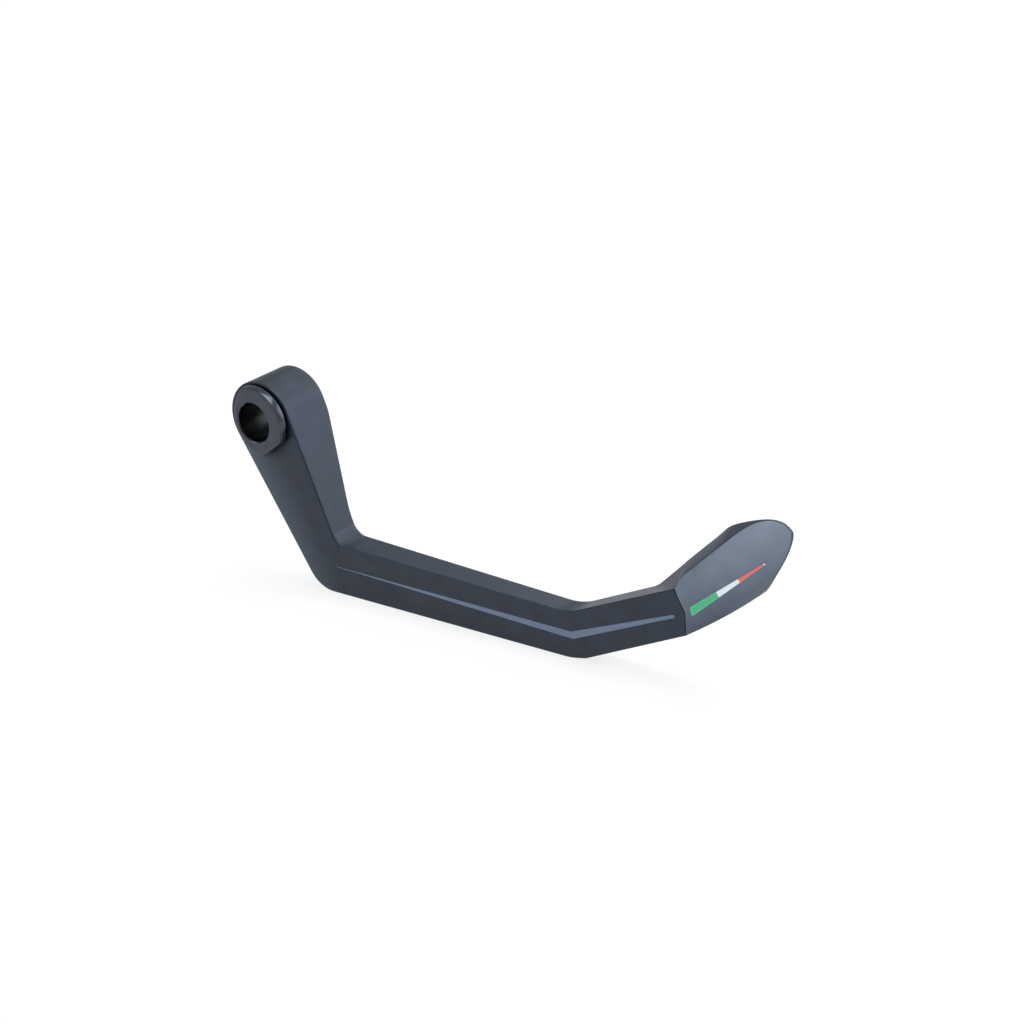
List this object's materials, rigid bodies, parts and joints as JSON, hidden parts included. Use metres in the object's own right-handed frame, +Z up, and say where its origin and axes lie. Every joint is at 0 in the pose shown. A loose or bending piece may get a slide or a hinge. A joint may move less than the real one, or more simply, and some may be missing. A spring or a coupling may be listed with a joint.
{
  "type": "brake lever guard",
  "caption": "Bar-end guard for a brake lever: bent flat arm with a bushed eye and a leaf-shaped moulded tip held by screws from behind.",
  "frame": {"origin": "on the axis of the eye, in the plane of the arm's flat front face", "axes": "+X along the straight blade towards the tip, +Y along the eye's bore into the depth, away from the front face, +Z up from the blade's lower edge to the eye"},
  "size_m": [0.1692, 0.0167, 0.0533],
  "materials": {
    "arm_anodised": "satin dark anodising with a pale engraved stripe on the front face",
    "bush_black": "turned, glossy black anodising",
    "tip_plastic": "fine moulded grain, grey-blue, with a tapered green, white and red stripe",
    "screw_steel": "blackened steel"
  },
  "bodies": {
    "root": {"guard_arm": "arm_anodised", "eye_bush": "bush_black", "guard_tip": "tip_plastic", "tip_screws": "screw_steel"}
  },
  "joints": []
}
